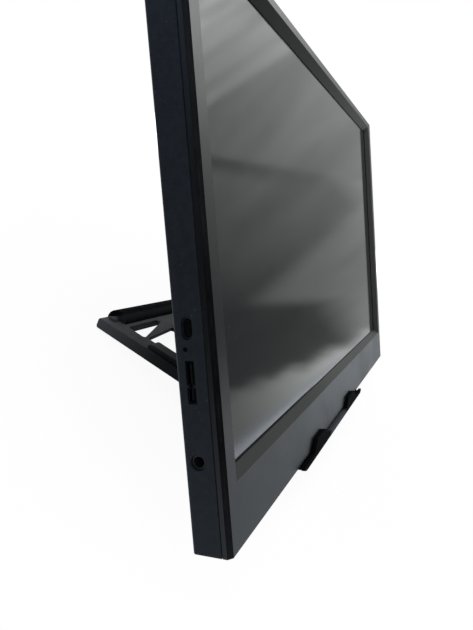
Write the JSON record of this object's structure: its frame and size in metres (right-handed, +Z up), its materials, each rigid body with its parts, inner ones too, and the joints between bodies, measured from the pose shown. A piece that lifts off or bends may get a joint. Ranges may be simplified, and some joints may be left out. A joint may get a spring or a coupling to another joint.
{
  "type": "portable monitor on a folding stand",
  "caption": "Slim black flat-panel monitor leaning on a small folding stand with a hooked ledge and an openwork leg, sockets and a power button in its side edge.",
  "frame": {"origin": "on the table, below the middle of the object's box", "axes": "+X along the width to the right as seen from the front, the screen faces -Y, +Z up"},
  "size_m": [0.3096, 0.131, 0.1625],
  "materials": {
    "bezel_plastic": "satin moulded black",
    "cover_plastic": "fine textured black",
    "display_glass": "dark display face, semi-gloss",
    "clear_plastic": "clear moulded",
    "steel_sheet": "bright sheet",
    "foam": "black foam",
    "green_board": "solder mask",
    "flat_cable": "white film",
    "chip_black": "moulded chip",
    "socket_metal": "plated shell",
    "socket_black": "moulded socket",
    "button_plastic": "satin black",
    "screw_steel": "blackened steel",
    "stand_plastic": "satin moulded black",
    "pad_rubber": "matt rubber",
    "pin_steel": "turned steel"
  },
  "bodies": {
    "stand": {"back_rest": "stand_plastic", "ledge_pads": "pad_rubber", "rest_pads": "pad_rubber", "heel_pads": "pad_rubber", "hinge_pins": "pin_steel", "friction_washers": "pin_steel", "hinge_nuts": "pin_steel"},
    "leg": {"leg": "stand_plastic", "foot_sleeve": "pad_rubber"},
    "monitor": {"front_bezel": "bezel_plastic", "rear_cover": "cover_plastic", "lcd_cell": "display_glass", "light_guide": "clear_plastic", "led_bar": "green_board", "panel_tray": "steel_sheet", "panel_gasket": "foam", "panel_board": "green_board", "panel_cable": "flat_cable", "main_board": "green_board", "board_chips": "chip_black", "board_shield": "steel_sheet", "board_screws": "pin_steel", "usb_port": "socket_metal", "audio_jack": "socket_black", "tact_switch": "chip_black", "light_pipe": "clear_plastic", "cover_screws": "screw_steel"},
    "power_button": {"power_button": "button_plastic", "switch_plunger": "clear_plastic"}
  },
  "joints": [
    {"name": "leg_fold", "type": "hinge", "parent": "stand", "child": "leg", "pos_m": [-0.017, -0.03315, 0.01395], "axis": [1, 0, 0], "range_deg": [0, 58.5]},
    {"name": "monitor_lift", "type": "slide", "parent": "stand", "child": "monitor", "axis": [0, 0.6198, 0.7848], "range_m": [0, 0.105]},
    {"name": "power_press", "type": "slide", "parent": "monitor", "child": "power_button", "axis": [1, 0, 0], "range_m": [0, 0.0005], "stiffness_N_per_m": 2000}
  ]
}
